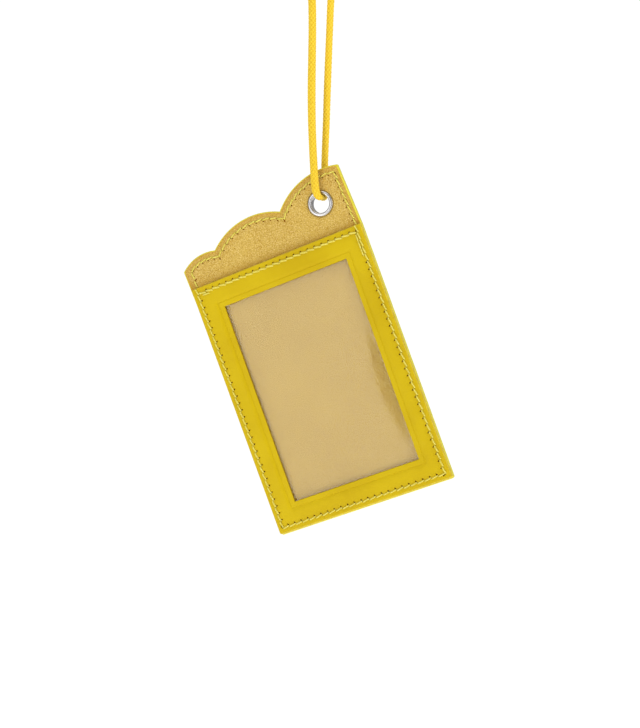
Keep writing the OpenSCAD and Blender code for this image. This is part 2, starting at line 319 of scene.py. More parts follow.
def suede(name):
    """Short nap: speckled fibre tips, veins of wear and a soft sheen, darker towards the leather's outer
    edge, with painted shade on the nap just above the frame's top edge.
    """
    s = Shader(name, Roughness=0.95, Specular_IOR_Level=0.12, Sheen_Weight=0.2, Sheen_Roughness=0.5)
    s.principled.inputs["Sheen Tint"].default_value = srgb(240, 215, 150)
    light, mid, dark = srgb(230, 203, 128), srgb(204, 171, 82), srgb(164, 121, 34)
    grain = s.noise(3400.0, 2.0, 0.6)
    coarse = s.noise(2300.0, 3.0, 0.65)
    base = s.mix(s.ramp(grain, 0.0, 1.0, 0.36, 0.56), dark, mid)
    base = s.mix(s.ramp(coarse, 0.0, 0.9, 0.5, 0.66), base, light)
    for turn in (3.2, 0.32):
        fibre = s.noise(2600.0, 2.0, 0.5, stretch=(turn, 1.0, 1.0 / turn))
        base = s.mix(s.ramp(fibre, 0.0, 0.45, 0.6, 0.72), base, light)
    cloud = s.noise(45.0, 4.0, 0.6)
    base = s.mix(s.ramp(cloud, 0.0, 0.3, 0.45, 0.75), base, srgb(212, 178, 84))
    vein = s.noise(60.0, 4.0, 0.55, stretch=(3.0, 3.0, 0.7))
    thin = s.math("ABSOLUTE", s.math("SUBTRACT", vein, 0.5))
    faint = s.math("MULTIPLY", s.ramp(thin, 0.35, 0.0, 0.0, 0.008), s.ramp(cloud, 0.0, 1.0, 0.5, 0.6))
    base = s.mix(faint, base, light)
    # Painted shade just above the frame's top edge, where the raised frame shades the nap, and darker
    # towards the leather's outer edge
    base = s.mix(s.math("MULTIPLY", s.attribute("EdgeDarkAndFrameShade"), 0.6), base, srgb(184, 138, 36))
    bumps = s.bump(grain, 0.5, 0.0003)
    bumps = s.bump(coarse, 0.25, 0.0003, bumps)
    return s.set(Base_Color=base, Normal=bumps)


def edge_paint(name, colour, deep):
    """Brushed edge coat over the cut leather, slightly uneven."""
    s = Shader(name, Roughness=0.38, Specular_IOR_Level=0.25)
    base = s.mix(s.ramp(s.noise(420.0, 4.0), 0.0, 1.0, 0.38, 0.66), colour, deep)
    return s.set(Base_Color=base, Normal=s.bump(s.noise(700.0, 3.0), 0.3, 0.0001))


def needle_hole_painted_shade(name, deep, rim):
    """The inside of a needle slit: raw leather, darkened with painted shade."""
    s = Shader(name, Roughness=0.9, Specular_IOR_Level=0.1)
    base = s.mix(s.noise(1500.0), deep, rim)
    return s.set(Base_Color=base)


def sewing_thread(name):
    """Waxed twisted thread."""
    s = Shader(name, Roughness=0.5, Specular_IOR_Level=0.4, Sheen_Weight=0.15, Sheen_Roughness=0.4)
    fibre = s.noise(3000.0, 3.0)
    base = s.mix(s.ramp(fibre, 0.0, 1.0, 0.35, 0.65), srgb(196, 180, 42), srgb(228, 216, 104))
    return s.set(Base_Color=base, Normal=s.bump(fibre, 0.3, 0.00005))


def braided_cotton(name):
    """Dyed cotton braid, with painted shade between its yarns."""
    s = Shader(name, Roughness=0.72, Specular_IOR_Level=0.3, Sheen_Weight=0.3, Sheen_Roughness=0.45)
    s.principled.inputs["Sheen Tint"].default_value = srgb(255, 232, 150)
    yarn_height_for_gap_shade = s.attribute("Yarn")
    fibre = s.noise(5000.0, 3.0, 0.65)
    # Painted shade: the base colour darkens where the yarns are low, in the gaps between them
    base = s.mix(s.ramp(yarn_height_for_gap_shade, 0.0, 1.0, 0.3, 0.85), srgb(216, 166, 10), srgb(230, 198, 44))
    base = s.mix(s.ramp(fibre, 0.0, 0.25, 0.45, 0.75), base, srgb(236, 204, 84))
    return s.set(Base_Color=base, Normal=s.bump(fibre, 0.4, 0.0001))


def clear_film(name):
    """Flexible clear sheet: a faint grey film with a clean gloss."""
    s = Shader(name, Roughness=0.04, Specular_IOR_Level=0.5, IOR=3.0, Alpha=0.08)
    s.principled.inputs["Base Color"].default_value = srgb(90, 80, 50)
    return s.material


def nickel(name):
    """Bright nickel plate with fine wear."""
    s = Shader(name, Metallic=1.0, Roughness=0.3)
    s.principled.inputs["Base Color"].default_value = srgb(186, 184, 184)
    return s.material


GRAIN = grain_leather("grain_leather", srgb(201, 173, 6), srgb(192, 162, 2))
SUEDE = suede("suede")
FRAME_EDGE = edge_paint("frame_edge", srgb(203, 178, 30), srgb(188, 160, 20))
LINING_EDGE = edge_paint("lining_edge", srgb(218, 207, 62), srgb(208, 196, 50))
BACK_EDGE = edge_paint("back_edge", srgb(210, 204, 70), srgb(198, 192, 56))
CUT_EDGE = edge_paint("cut_edge", srgb(176, 134, 20), srgb(150, 108, 12))
# Needle slits: raw leather inside, painted much darker as shade in the slits
HOLE = needle_hole_painted_shade("needle_hole_painted_shade", srgb(92, 46, 4), srgb(124, 68, 6))
SUEDE_HOLE = needle_hole_painted_shade("suede_needle_hole", srgb(140, 82, 4), srgb(166, 104, 10))
THREAD = sewing_thread("sewing_thread")
COTTON = braided_cotton("braided_cotton")
FILM = clear_film("clear_film")
NICKEL = nickel("nickel")


# --- camera ------------------------------------------------------------------------------------------
CAMERA_AZIMUTH, CAMERA_ELEVATION = 16.2, 4.25
CAMERA_DISTANCE = 0.5
CAMERA_TARGET = (-0.0005, 0.0, -0.1766)
CAMERA_LENS = 67.2


def add_camera():
    a, e = math.radians(CAMERA_AZIMUTH), math.radians(CAMERA_ELEVATION)
    back = Vector((math.sin(a) * math.cos(e), -math.cos(a) * math.cos(e), math.sin(e)))
    data = bpy.data.cameras.new("camera")
    data.lens = CAMERA_LENS
    data.sensor_width = 36.0
    data.clip_start = 0.01
    camera = bpy.data.objects.new("camera", data)
    camera.location = Vector(CAMERA_TARGET) + back * CAMERA_DISTANCE
    camera.rotation_mode = "QUATERNION"
    camera.rotation_quaternion = (-back).to_track_quat("-Z", "Y")
    bpy.context.scene.collection.objects.link(camera)
    bpy.context.scene.camera = camera


add_camera()

# --- cord and knot -----------------------------------------------------------------------------------
YARNS, BRAID_PITCH = 6, 10.0
CORD_STEP, CORD_SIDES = 0.2, 40


def yarn_height(angle, distance):
    """Height of a plain braid, 0 between yarns and 1 on the crown of one that passes over."""
    right = YARNS * (angle / (2 * math.pi) + distance / BRAID_PITCH)
    left = YARNS * (angle / (2 * math.pi) - distance / BRAID_PITCH)
    heights = []
    for own, other, phase in ((right, left, 0.0), (left, right, 1.0)):
        offset = own - np.round(own)
        crown = np.sqrt(np.clip(1 - (offset / 0.52) ** 2, 0, 1))
        over = np.cos(math.pi * (other + np.round(own) + phase))
        heights.append(crown * (0.55 + 0.45 * over))
    return np.maximum(*heights)


def braid(line, radius):
    """A braided tube along a line, with the height of its yarns at each vertex."""
    height = []

    def surface(angle, distance):
        h = yarn_height(angle, distance)
        height.append(h)
        return radius * (0.78 + 0.23 * h)

    verts, faces = tube(line, surface, CORD_SIDES)
    yarn = np.concatenate([height[0].ravel(), [0.3, 0.3]])
    return verts, faces, yarn


def flatten_bight(points):
    """Presses the cord flat where it bears on the top of the eyelet's hole."""
    middle, reach = (0, 0.2, HOLE_TOP - 1.6), (9, 3.6, 3.4)
    lift, level, flattening = 0.35, HOLE_TOP - 0.45, 0.45
    shift, narrowing = 0.04, 0.05
    near = np.exp(-(np.linalg.norm((points - middle) / reach, axis=1) ** 2))
    pressed = points.copy()
    pressed[:, 2] += near * (lift + (level - points[:, 2]) * flattening)
    pressed[:, 0] -= near * (shift + narrowing * points[:, 0])
    return pressed


def strand_width(line):
    """The braid lies broadside in the front strand and edge-on in the back one, and its width wavers."""
    front, back = 1.06, 0.95
    return np.where(line[:, 1] < 0, front, back) * (1 + 0.02 * np.sin(line[:, 2] / 7))


def make_cord():
    line = smooth_line(ROUTE, CORD_STEP)
    verts, faces, yarn = braid(line, CORD_D / 2)
    centre = np.vstack([np.repeat(line, CORD_SIDES, axis=0), line[0], line[-1]])
    spread = np.concatenate([np.repeat(strand_width(line), CORD_SIDES), [1, 1]])
    verts[:, 0] = centre[:, 0] + (verts[:, 0] - centre[:, 0]) * spread
    verts, line = flatten_bight(verts), flatten_bight(line)
    made = piece("cord", None, "cord", verts, faces, [COTTON], sharp=180.0)
    float_layer(made, "Yarn", yarn)
    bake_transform(made)
    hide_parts("cord_hook_end", "cord_flex", "cord_drop")
    return made, line


def make_knot():
    """Overhand knot: both ends run up through a turn and a half of the doubled cord, and out as tails."""
    half = CORD_D / 2
    wrap_steps, first_turn, turning, wrap_rise = 24, 200, 520, 2.9
    parts, yarns = [], []

    def strand(points):
        verts, faces, yarn = braid(smooth_line(points, CORD_STEP), half)
        parts.append((verts, faces))
        yarns.append(yarn)

    low, high = KNOT_Z - KNOT_H / 2, KNOT_Z + KNOT_H / 2
    for side in (-1, 1):
        lean = side * math.tan(math.radians(14))
        top = high + TAIL_L * 0.97
        strand([
            (side * 1.4, 0, low), (side * 1.3, 0, KNOT_Z - 2), (side * 1.3, 0, KNOT_Z + 2),
            (side * 1.7, 0, high), (side * 1.7 + lean * 5, 0.3 * side, high + 5),
            (side * 1.7 + lean * (top - high), 0.2 * side, top),
        ])
    for wrap in (0, 1):
        points = []
        for k in range(wrap_steps + 1):
            t = k / wrap_steps
            turn = math.radians(first_turn + turning * t)
            tuck = math.sin(math.pi * min(1.0, 3.2 * min(t, 1 - t) + 0.12) / 2)
            z = KNOT_Z + (t - 0.5) * wrap_rise + (wrap - 0.5) * CORD_D * 0.98
            z += 1.15 * math.cos(turn - math.radians(70))
            reach_u = 1.2 + (KNOT_W / 2 - half * 1.02 - 1.2) * tuck
            reach_y = 0.4 + (KNOT_W / 2 - half * 1.25 - 0.4) * tuck
            points.append((reach_u * math.cos(turn), reach_y * math.sin(turn), z))
        strand(points)
    verts, faces = merge(parts)
    made = piece("cord_knot_tied", "hook_end", "cord", verts, faces, [COTTON], sharp=180.0)
    float_layer(made, "Yarn", np.concatenate(yarns))
    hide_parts("cord_knot")
    return made


cord, cord_line = make_cord()
knot = make_knot()
CORD_LENGTH = float(np.linalg.norm(np.diff(cord_line, axis=0), axis=1).sum()) * MM
[[c * MM for c in p] for p in cord_line]


# --- outlines in the tag's plane ---------------------------------------------------------------------
def circle_centre(a, b, c):
    """Centre of the circle through three points."""
    d = 2 * (a[0] * (b[1] - c[1]) + b[0] * (c[1] - a[1]) + c[0] * (a[1] - b[1]))
    qa, qb, qc = (p[0] ** 2 + p[1] ** 2 for p in (a, b, c))
    return np.array([
        (qa * (b[1] - c[1]) + qb * (c[1] - a[1]) + qc * (a[1] - b[1])) / d,
        (qa * (c[0] - b[0]) + qb * (a[0] - c[0]) + qc * (b[0] - a[0])) / d,
    ])


LOBE_C = [circle_centre(EDGE[i], CROWN[i], EDGE[i + 1]) for i in range(3)]
LOBE_R = [float(np.linalg.norm(np.array(EDGE[i]) - LOBE_C[i])) for i in range(3)]


def meet(c1, r1, c2, r2):
    """Upper meeting point of two circles."""
    d = np.linalg.norm(c2 - c1)
    along = (c2 - c1) / d
    x = (d * d + r1 * r1 - r2 * r2) / (2 * d)
    h = math.sqrt(r1 * r1 - x * x)
    return c1 + x * along + h * np.array([-along[1], along[0]])


def on_lobe(i, u, inset):
    """Height of a lobe's inset edge at u."""
    c, r = LOBE_C[i], LOBE_R[i] - inset
    return np.array([u, c[1] + math.sqrt(r * r - (u - c[0]) ** 2)])


def lobe_ends(inset, left, right):
    """The scalloped edge's corners and cusps, at a distance inside the edge, left to right."""
    return [
        on_lobe(0, left, inset),
        meet(LOBE_C[0], LOBE_R[0] - inset, LOBE_C[1], LOBE_R[1] - inset),
        meet(LOBE_C[1], LOBE_R[1] - inset, LOBE_C[2], LOBE_R[2] - inset),
        on_lobe(2, right, inset),
    ]


def angle_of(p):
    return math.atan2(p[1], p[0])


def straight(a, b, step):
    """Points from a up to, but not including, b."""
    a, b = np.asarray(a, dtype=float), np.asarray(b, dtype=float)
    n = max(1, round(np.linalg.norm(b - a) / step))
    return [a + (b - a) * i / n for i in range(n)]


def arc(centre, radius, start, end, step):
    """Points along an arc from angle start up to, but not including, end."""
    n = max(2, round(abs(end - start) * radius / step))
    angles = [start + (end - start) * i / n for i in range(n)]
    return [np.array(centre) + radius * np.array([math.cos(a), math.sin(a)]) for a in angles]


def bottom_side(u0, u1, v, radius, step):
    """From the left side, round both bottom corners, to the right side."""
    points = arc((u0 + radius, v + radius), radius, math.pi, 1.5 * math.pi, step / 2)
    points += straight((u0 + radius, v), (u1 - radius, v), step)
    points += arc((u1 - radius, v + radius), radius, 1.5 * math.pi, 2 * math.pi, step / 2)
    return points + [np.array([u1, v + radius])]


def frame_loop(inset, step=0.55):
    """The front frame's outline at a distance inside its edge."""
    u0, u1 = U_LEFT + inset, U_RIGHT - inset
    v0, v1 = FRAME_BOTTOM + inset, FRAME_TOP - inset
    top_left = (u0 - SIDE_LEAN, v1)
    points = bottom_side(u0, u1, v0, CORNER_R - inset, step)
    points += straight(points.pop(), (u1, v1), step)
    points += straight((u1, v1), top_left, step)
    return points + straight(top_left, points[0], step)


def back_loop(inset, step=0.55):
    """The outline of the two back layers at a distance inside their edge."""
    u0, u1 = U_LEFT + inset, U_RIGHT - inset
    ends = lobe_ends(inset, FLAP_LEFT + inset, u1 - FLAP_LEAN)
    spread_foot = (SPREAD_FOOT[0] + inset, SPREAD_FOOT[1])
    points = bottom_side(u0, u1, FRAME_BOTTOM - BACK_DROP + inset, CORNER_R - inset, step)
    points += straight(points.pop(), (u1, FRAME_TOP), step)
    points += straight((u1, FRAME_TOP), ends[3], step)
    for i in (2, 1, 0):
        start, end = (angle_of(ends[k] - LOBE_C[i]) for k in (i + 1, i))
        points += arc(LOBE_C[i], LOBE_R[i] - inset, start, end, step)
    points += straight(ends[0], spread_foot, step)
    return points + straight(spread_foot, points[0], step)


def box_loop(box, outset, step=0.6):
    """A rectangle (u, v, width, height) moved outwards by outset."""
    u0, v0 = box[0] - outset, box[1] - outset
    u1, v1 = box[0] + box[2] + outset, box[1] + box[3] + outset
    corners = [(u0, v0), (u1, v0), (u1, v1), (u0, v1)]
    return sum((straight(corners[i], corners[(i + 1) % 4], step) for i in range(4)), [])


def circle_loop(radius, count=56):
    angles = [2 * math.pi * i / count for i in range(count)]
    return [np.array([radius * math.cos(a), radius * math.sin(a)]) for a in angles]


# --- seams -------------------------------------------------------------------------------------------
def line_row(a, b):
    """Stitches as (u, v, direction in radians), evenly spaced from a to b."""
    a, b = np.array(a, dtype=float), np.array(b, dtype=float)
    n = round(np.linalg.norm(b - a) / PITCH)
    return [(*(a + (b - a) * (i + 0.5) / n), angle_of(b - a)) for i in range(n)]


def lobe_row(i, ends):
    """Stitches along one lobe, from its right end to its left end."""
    start, end = angle_of(ends[i + 1] - LOBE_C[i]), angle_of(ends[i] - LOBE_C[i])
    radius = LOBE_R[i] - FLAP_INSET
    n = round(radius * abs(end - start) / PITCH)
    centre_u, centre_v = LOBE_C[i]
    row = []
    for k in range(n):
        a = start + (end - start) * (k + 0.5) / n
        row.append((centre_u + radius * math.cos(a), centre_v + radius * math.sin(a), a + math.pi / 2))
    return row


SEAM_U0, SEAM_U1, SEAM_V0 = FRAME_LEFT + SEAM_INSET, U_RIGHT - SEAM_INSET, FRAME_BOTTOM + SEAM_INSET
SEAM_FOOT = (U_LEFT + SEAM_INSET, SEAM_V0)
SEAM_ENDS = lobe_ends(FLAP_INSET, SEAM_U0, SEAM_U1 - FLAP_LEAN)
FRAME_ROWS = (
    line_row((SEAM_U0, FRAME_TOP), SEAM_FOOT)
    + line_row(SEAM_FOOT, (SEAM_U1, SEAM_V0))
    + line_row((SEAM_U1, SEAM_V0), (SEAM_U1, FRAME_TOP))
)
FLAP_ROWS = (
    line_row((SEAM_U1, FRAME_TOP), SEAM_ENDS[3])
    + lobe_row(2, SEAM_ENDS)
    + lobe_row(1, SEAM_ENDS)
    + lobe_row(0, SEAM_ENDS)
    + line_row(SEAM_ENDS[0], (SEAM_U0, FRAME_TOP))
)
UPPER_V = FRAME_TOP - UPPER_INSET
UPPER_ROW = line_row((SEAM_U1 - 2 * THREAD_R, UPPER_V), (SEAM_U0 + 2 * THREAD_R, UPPER_V))
LOCK_GAP = 3.2 * THREAD_R
LOCK_LEFT = (SEAM_U0 + 2 * LOCK_GAP, UPPER_V - LOCK_GAP)
LOCK_RIGHT = (SEAM_U1 - LOCK_GAP, UPPER_V - LOCK_GAP)
LOCK_ROWS = line_row(LOCK_LEFT, (LOCK_LEFT[0] + PITCH, LOCK_LEFT[1])) + line_row(
    (LOCK_RIGHT[0], LOCK_RIGHT[1] - 3 * PITCH), LOCK_RIGHT
)

# A needle slit's turn out of the seam's line, its half length and half width, and its depth
SLIT_TURN = math.radians(117)
SLIT_L, SLIT_W, SLIT_DEEP = 0.8, 0.25, 0.4
# How far a slit's middle lies from the seam's line, and the least gap between two slits
SLIT_OUT, SLIT_GAP = 0.42, 1.5


def slits(rows, turn=SLIT_TURN):
    """Needle slits as (u, v, direction): one at the start of each stitch, beside the seam's line."""
    made = []
    for u, v, way in rows:
        hole = np.array([u, v]) - PITCH / 2 * np.array([math.cos(way), math.sin(way)])
        out = way + turn
        centre = hole + SLIT_OUT * np.array([math.cos(out), math.sin(out)])
        if all(np.hypot(centre[0] - s[0], centre[1] - s[1]) > SLIT_GAP for s in made):
            made.append((centre[0], centre[1], out))
    return made


def slit_loop(slit, share):
    """The oval round a slit at a share of its size, narrower towards its bottom."""
    u, v, way = slit
    along, across = np.array([math.cos(way), math.sin(way)]), np.array([-math.sin(way), math.cos(way)])
    turns = [2 * math.pi * k / 10 for k in range(10)]
    length, width = SLIT_L * share, SLIT_W * (share if share > 1 else share * 0.8)
    return [np.array([u, v]) + length * math.cos(a) * along + width * math.sin(a) * across for a in turns]


# --- leather plates ----------------------------------------------------------------------------------
EDGE_ROUND = [math.radians(a) for a in (0, 18, 36, 54, 72, 90)]
FACE, PAINT, SLIT, CUT = 0, 1, 2, 3
# A needle slit's loops as (share of its size, drop, kind)
SLIT_PROFILE = ((1.2, 0.05, FACE), (1.05, 0.09, SLIT), (0.55, SLIT_DEEP, SLIT))


class Plate:
    """One flat layer of leather: a triangulated face with rounded edges, grooves and needle slits.

    Points carry their drop below the outer face and a kind, from which the faces get their material."""

    def __init__(self, outer, inner, paint_to=EDGE_ROUND[4]):
        self.outer, self.inner, self.paint_to = outer, inner, paint_to
        self.points, self.drops, self.kinds = [], [], []
        self.constraints, self.walls, self.outlines = [], [], []

    def add(self, points, drop, kind=FACE):
        start = len(self.points)
        self.points.extend(tuple(p) for p in points)
        drops = drop if hasattr(drop, "__len__") else [drop] * len(points)
        self.drops.extend(drops)
        self.kinds.extend([kind] * len(points))
        return list(range(start, start + len(points)))

    def loop(self, points, drop, kind=FACE):
        ids = self.add(points, drop, kind)
        self.constraints.extend((ids[i], ids[(i + 1) % len(ids)]) for i in range(len(ids)))
        return ids

    def edge(self, loop_at, radius, painted=True, sunk=0.0):
        """A rounded edge: loop_at(inset) gives the outline inside the cut."""
        for a in EDGE_ROUND:
            inset = radius * (1 - math.cos(a))
            kind = PAINT if painted and a <= self.paint_to else FACE
            ids = self.loop(loop_at(inset), sunk + radius * (1 - math.sin(a)), kind)
            if a == EDGE_ROUND[0]:
                self.walls.append((ids, PAINT if painted else CUT))
                self.outlines.append(np.array([self.points[i] for i in ids]))

    def slit(self, slit):
        for share, drop, kind in SLIT_PROFILE:
            self.loop(slit_loop(slit, share), drop, kind)

    def fill(self, box, gap, drop_at):
        """Scattered points between the loops, at the heights that drop_at gives."""
        tree = kdtree.KDTree(len(self.points))
        for i, p in enumerate(self.points):
            tree.insert((*p, 0), i)
        tree.balance()
        spots = []
        u = box[0] + gap / 2
        while u < box[0] + box[2]:
            v = box[1] + gap / 2
            while v < box[1] + box[3]:
                spot = (u + random.uniform(-0.3, 0.3) * gap, v + random.uniform(-0.3, 0.3) * gap)
                if tree.find((*spot, 0))[2] > 0.6 * gap:
                    spots.append(spot)
                v += gap
            u += gap
        self.add(spots, [drop_at(*s) for s in spots])

    def inside(self, spots):
        """Which spots lie on the leather: inside the first outline and outside the others."""
        result = None
        for loop in self.outlines:
            a, b = loop, np.roll(loop, -1, axis=0)
            x, y = spots[:, 0][:, None], spots[:, 1][:, None]
            spans = (a[:, 1] > y) != (b[:, 1] > y)
            rise = np.where(b[:, 1] == a[:, 1], 1e-9, b[:, 1] - a[:, 1])
            cross = spans & (x < (b[:, 0] - a[:, 0]) * (y - a[:, 1]) / rise + a[:, 0])
            odd = cross.sum(axis=1) % 2 == 1
            result = odd if result is None else result & ~odd
        return result

    def build(self, name, body, slot, materials, inner_at=None):
        """inner_at(u, v) gives the inner face's depth where it isn't flat."""
        flat, _, triangles, origin, _, _ = delaunay_2d_cdt(
            [Vector(p) for p in self.points], self.constraints, [], 0, 1e-6
        )
        of_input = {}
        for i, source in enumerate(origin):
            for s in source:
                of_input[s] = i
        n = len(flat)
        uv = np.array([tuple(p) for p in flat])
        drop = np.array([self.drops[s[0]] if s else 0.0 for s in origin])
        kind = np.array([self.kinds[s[0]] if s else FACE for s in origin])
        way = 1 if self.inner > self.outer else -1
        tri = np.array(triangles)
        tri = tri[self.inside(uv[tri].mean(axis=1))]
        used = np.zeros(n, dtype=bool)
        used[tri.ravel()] = True
        inner = np.full(n, self.inner) if inner_at is None else np.array([inner_at(*p) for p in uv])
        rim = np.zeros(n)
        for wall, _ in self.walls:
            for i in wall:
                rim[of_input[i]] = 0.12
        front = np.column_stack([uv[:, 0], self.outer + way * drop, uv[:, 1]])
        back = np.column_stack([uv[:, 0], inner - way * rim, uv[:, 1]])
        faces = tri.tolist() + (tri[:, ::-1] + n).tolist()
        kinds = kind[tri]
        painted = np.where((kinds == PAINT).all(axis=1), PAINT, FACE)
        faces_material = np.where((kinds == SLIT).all(axis=1), SLIT, painted).tolist() + [FACE] * len(tri)
        for wall, material in self.walls:
            for i in range(len(wall)):
                a, b = of_input[wall[i]], of_input[wall[(i + 1) % len(wall)]]
                faces.append([a, b, b + n, a + n])
                faces_material.append(material)
        keep = np.concatenate([used, used])
        index = np.cumsum(keep) - 1
        verts = np.vstack([front, back])[keep]
        faces = [[int(index[i]) for i in f] for f in faces]
        made = piece(name, body, slot, verts, faces, materials, TAG_PLANE, faces_material)
        # Darkening for the suede: towards the outer edge, and painted shade just above the frame's top edge
        edge_dark_and_frame_shade = [self.edge_dark_and_frame_shade_at(*p) for p in uv]
        float_layer(made, "EdgeDarkAndFrameShade", np.concatenate([edge_dark_and_frame_shade, edge_dark_and_frame_shade])[keep])
        return made

    def edge_dark_and_frame_shade_at(self, u, v):
        """How near the leather's edge or the frame's top a point is, from 0 to 1: the suede gets darker
        towards the edge, and painted shade above the frame's top.
        """
        far = 9.0
        rim = float(np.min(np.hypot(*(self.outlines[0] - (u, v)).T)))
        step_up = v - FRAME_TOP if v > FRAME_TOP else far
        return math.exp(-((rim / 1.6) ** 2)) + 0.8 * math.exp(-((step_up / 1.8) ** 2))


def sway(u, v, height):
    """Gentle unevenness of a leather face, always downwards."""
    wave = math.sin(u / 7.3 + 1.1) * math.cos(v / 9.1) + 0.6 * math.sin((u + v) / 4.7)
    return height * (0.55 + 0.3 * wave)


def sew(plate, rows, slit_centres):
    """Needle slits, and the seam's shallow channel: deepest at the needle holes."""
    depth, slit_clearance, far = 0.16, 0.8, 9.0
    for s in slit_centres:
        plate.slit(s)
    profile = ((-1.1, 0.0), (-0.55, 0.5), (0.0, 1.0), (0.55, 0.5), (1.1, 0.0))
    for u, v, way in rows:
        along, across = np.array([math.cos(way), math.sin(way)]), np.array([-math.sin(way), math.cos(way)])
        for t in (-0.5, -0.25, 0.0, 0.25):
            pull = 0.55 + 0.45 * math.cos(2 * math.pi * (t + 0.5))
            for offset, share in profile:
                spot = np.array([u, v]) + t * PITCH * along + offset * across
                near = min((np.hypot(spot[0] - s[0], spot[1] - s[1]) for s in slit_centres), default=far)
                if near > slit_clearance:
                    plate.add([spot], depth * share * pull)


def make_frame():
    plate = Plate(Y_FRONT, Y_SUEDE)
    plate.edge(frame_loop, 0.5)
    plate.edge(lambda inset: box_loop(WINDOW, inset), 0.22, painted=False, sunk=0.14)
    # The leather dips towards the window, with a pressed crease line round it
    for outset, drop in ((0.6, 0.11), (1.2, 0.06), (1.7, 0.03), (1.92, 0.2), (2.08, 0.2), (2.35, 0.0)):
        plate.loop(box_loop(WINDOW, outset), drop)
    sew(plate, FRAME_ROWS + UPPER_ROW, slits(FRAME_ROWS) + slits(UPPER_ROW, -SLIT_TURN))
    # Two rows of points, either side of the pocket's walls, keep the step of the inner face steep
    for outset in (-0.08, 0.08):
        box = (POCKET[0] - outset, POCKET[1] - outset, POCKET[2] + 2 * outset, POCKET[3])
        plate.add([p for p in box_loop(box, 0.0, 0.9) if p[1] < FRAME_TOP - 0.6], 0.0)
    plate.fill((U_LEFT, FRAME_BOTTOM, BODY_W, BODY_H), 1.3, lambda u, v: sway(u, v, 0.05))

    def inner_at(u, v):
        return Y_POCKET if POCKET[0] < u < POCKET[0] + POCKET[2] and v > POCKET[1] else Y_SUEDE

    materials = [GRAIN, FRAME_EDGE, HOLE, CUT_EDGE]
    made = plate.build("front_frame_leather", "tag", "grain_leather", materials, inner_at)
    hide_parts("front_frame")


def make_lining():
    plate = Plate(Y_SUEDE, Y_JOIN, EDGE_ROUND[5])
    plate.edge(back_loop, 0.42)
    plate.edge(lambda inset: circle_loop(LEATHER_HOLE_R + inset), 0.1, painted=False)
    # The dish that the eyelet's rim presses into the nap
    for ring, drop in ((4.7, 0.4), (4.9, 0.36), (5.05, 0.16), (5.5, 0.06), (6.3, 0.0)):
        plate.loop(circle_loop(ring), drop)
    sew(plate, FLAP_ROWS, slits(FLAP_ROWS))
    plate.fill(BACK_BOX, 1.5, lambda u, v: sway(u, v, 0.06))
    made = plate.build("suede_lining_nap", "tag", "suede", [SUEDE, LINING_EDGE, SUEDE_HOLE, CUT_EDGE])
    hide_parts("suede_lining")


def make_back():
    plate = Plate(Y_BACK, Y_JOIN)
    plate.edge(back_loop, 0.5)
    plate.edge(lambda inset: circle_loop(LEATHER_HOLE_R + inset), 0.1, painted=False)
    # The dish under the washer
    for ring, drop in ((5.3, 0.12), (5.8, 0.07), (6.4, 0.02), (7.0, 0.0)):
        plate.loop(circle_loop(ring), drop)
    sew(plate, FRAME_ROWS + FLAP_ROWS, slits(FRAME_ROWS + FLAP_ROWS))
    plate.fill(BACK_BOX, 1.3, lambda u, v: sway(u, v, 0.06))
    made = plate.build("back_panel_leather", "tag", "grain_leather", [GRAIN, BACK_EDGE, HOLE, CUT_EDGE])
    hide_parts("back_panel")


make_frame()
make_lining()
make_back()


# --- thread ------------------------------------------------------------------------------------------
STITCH_HALF = PITCH * 0.46


def stitch(u, v, way, y, outwards, lean, radius):
    """One length of twisted thread that rises out of a needle hole and dives into the next."""
    way += math.radians(lean)
    along = np.array([math.cos(way), 0.0, math.sin(way)])
    # Places along the stitch, as shares of half its length, and heights above the face
    profile = [
        (-1.0, -0.45), (-0.93, -0.1), (-0.8, 0.13), (-0.5, 0.2), (0.0, 0.23),
        (0.5, 0.2), (0.8, 0.13), (0.93, -0.1), (1.0, -0.45),
    ]
    out = np.array([0.0, outwards, 0.0])
    line = smooth_line([np.array([u, y, v]) + t * STITCH_HALF * along + h * out for t, h in profile], 0.22)
    ply, lay_length, sides = 3, 1.6, 12
    twist = 2 * math.pi / lay_length
    return tube(line, lambda a, s: radius * (0.9 + 0.16 * np.abs(np.cos(ply / 2 * (a - twist * s)))), sides)


def make_thread(name, node, rows):
    """rows are (stitches, depth of the face, outward direction, lean, radius)."""
    parts = []
    for stitches, y, outwards, lean, radius in rows:
        for u, v, way in stitches:
            parts.append(stitch(u, v, way, y, outwards, lean + random.uniform(-2.5, 2.5), radius))
    made = piece(name, "tag", "thread", *merge(parts), [THREAD], TAG_PLANE, sharp=180.0)
    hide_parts(node)


# The upper seam's thread is thicker
UPPER_R = 0.34
INNER_ROW = [s for s in UPPER_ROW if POCKET[0] + PITCH / 2 < s[0] < POCKET[0] + POCKET[2] - PITCH / 2]
make_thread(
    "perimeter_needle_thread",
    "perimeter_thread_front",
    [(FRAME_ROWS, Y_FRONT, -1, LEAN, THREAD_R), (FLAP_ROWS, Y_SUEDE, -1, LEAN, THREAD_R)],
)
make_thread(
    "perimeter_bobbin_thread",
    "perimeter_thread_back",
    [(FRAME_ROWS + FLAP_ROWS, Y_BACK, 1, -LEAN, THREAD_R)],
)
make_thread(
    "upper_needle_thread",
    "upper_thread_front",
    [(UPPER_ROW, Y_FRONT, -1, -LEAN, UPPER_R), (LOCK_ROWS, Y_FRONT, -1, 0, THREAD_R)],
)
make_thread("upper_bobbin_thread", "upper_thread_back", [(INNER_ROW, Y_SHEET, 1, LEAN, THREAD_R)])


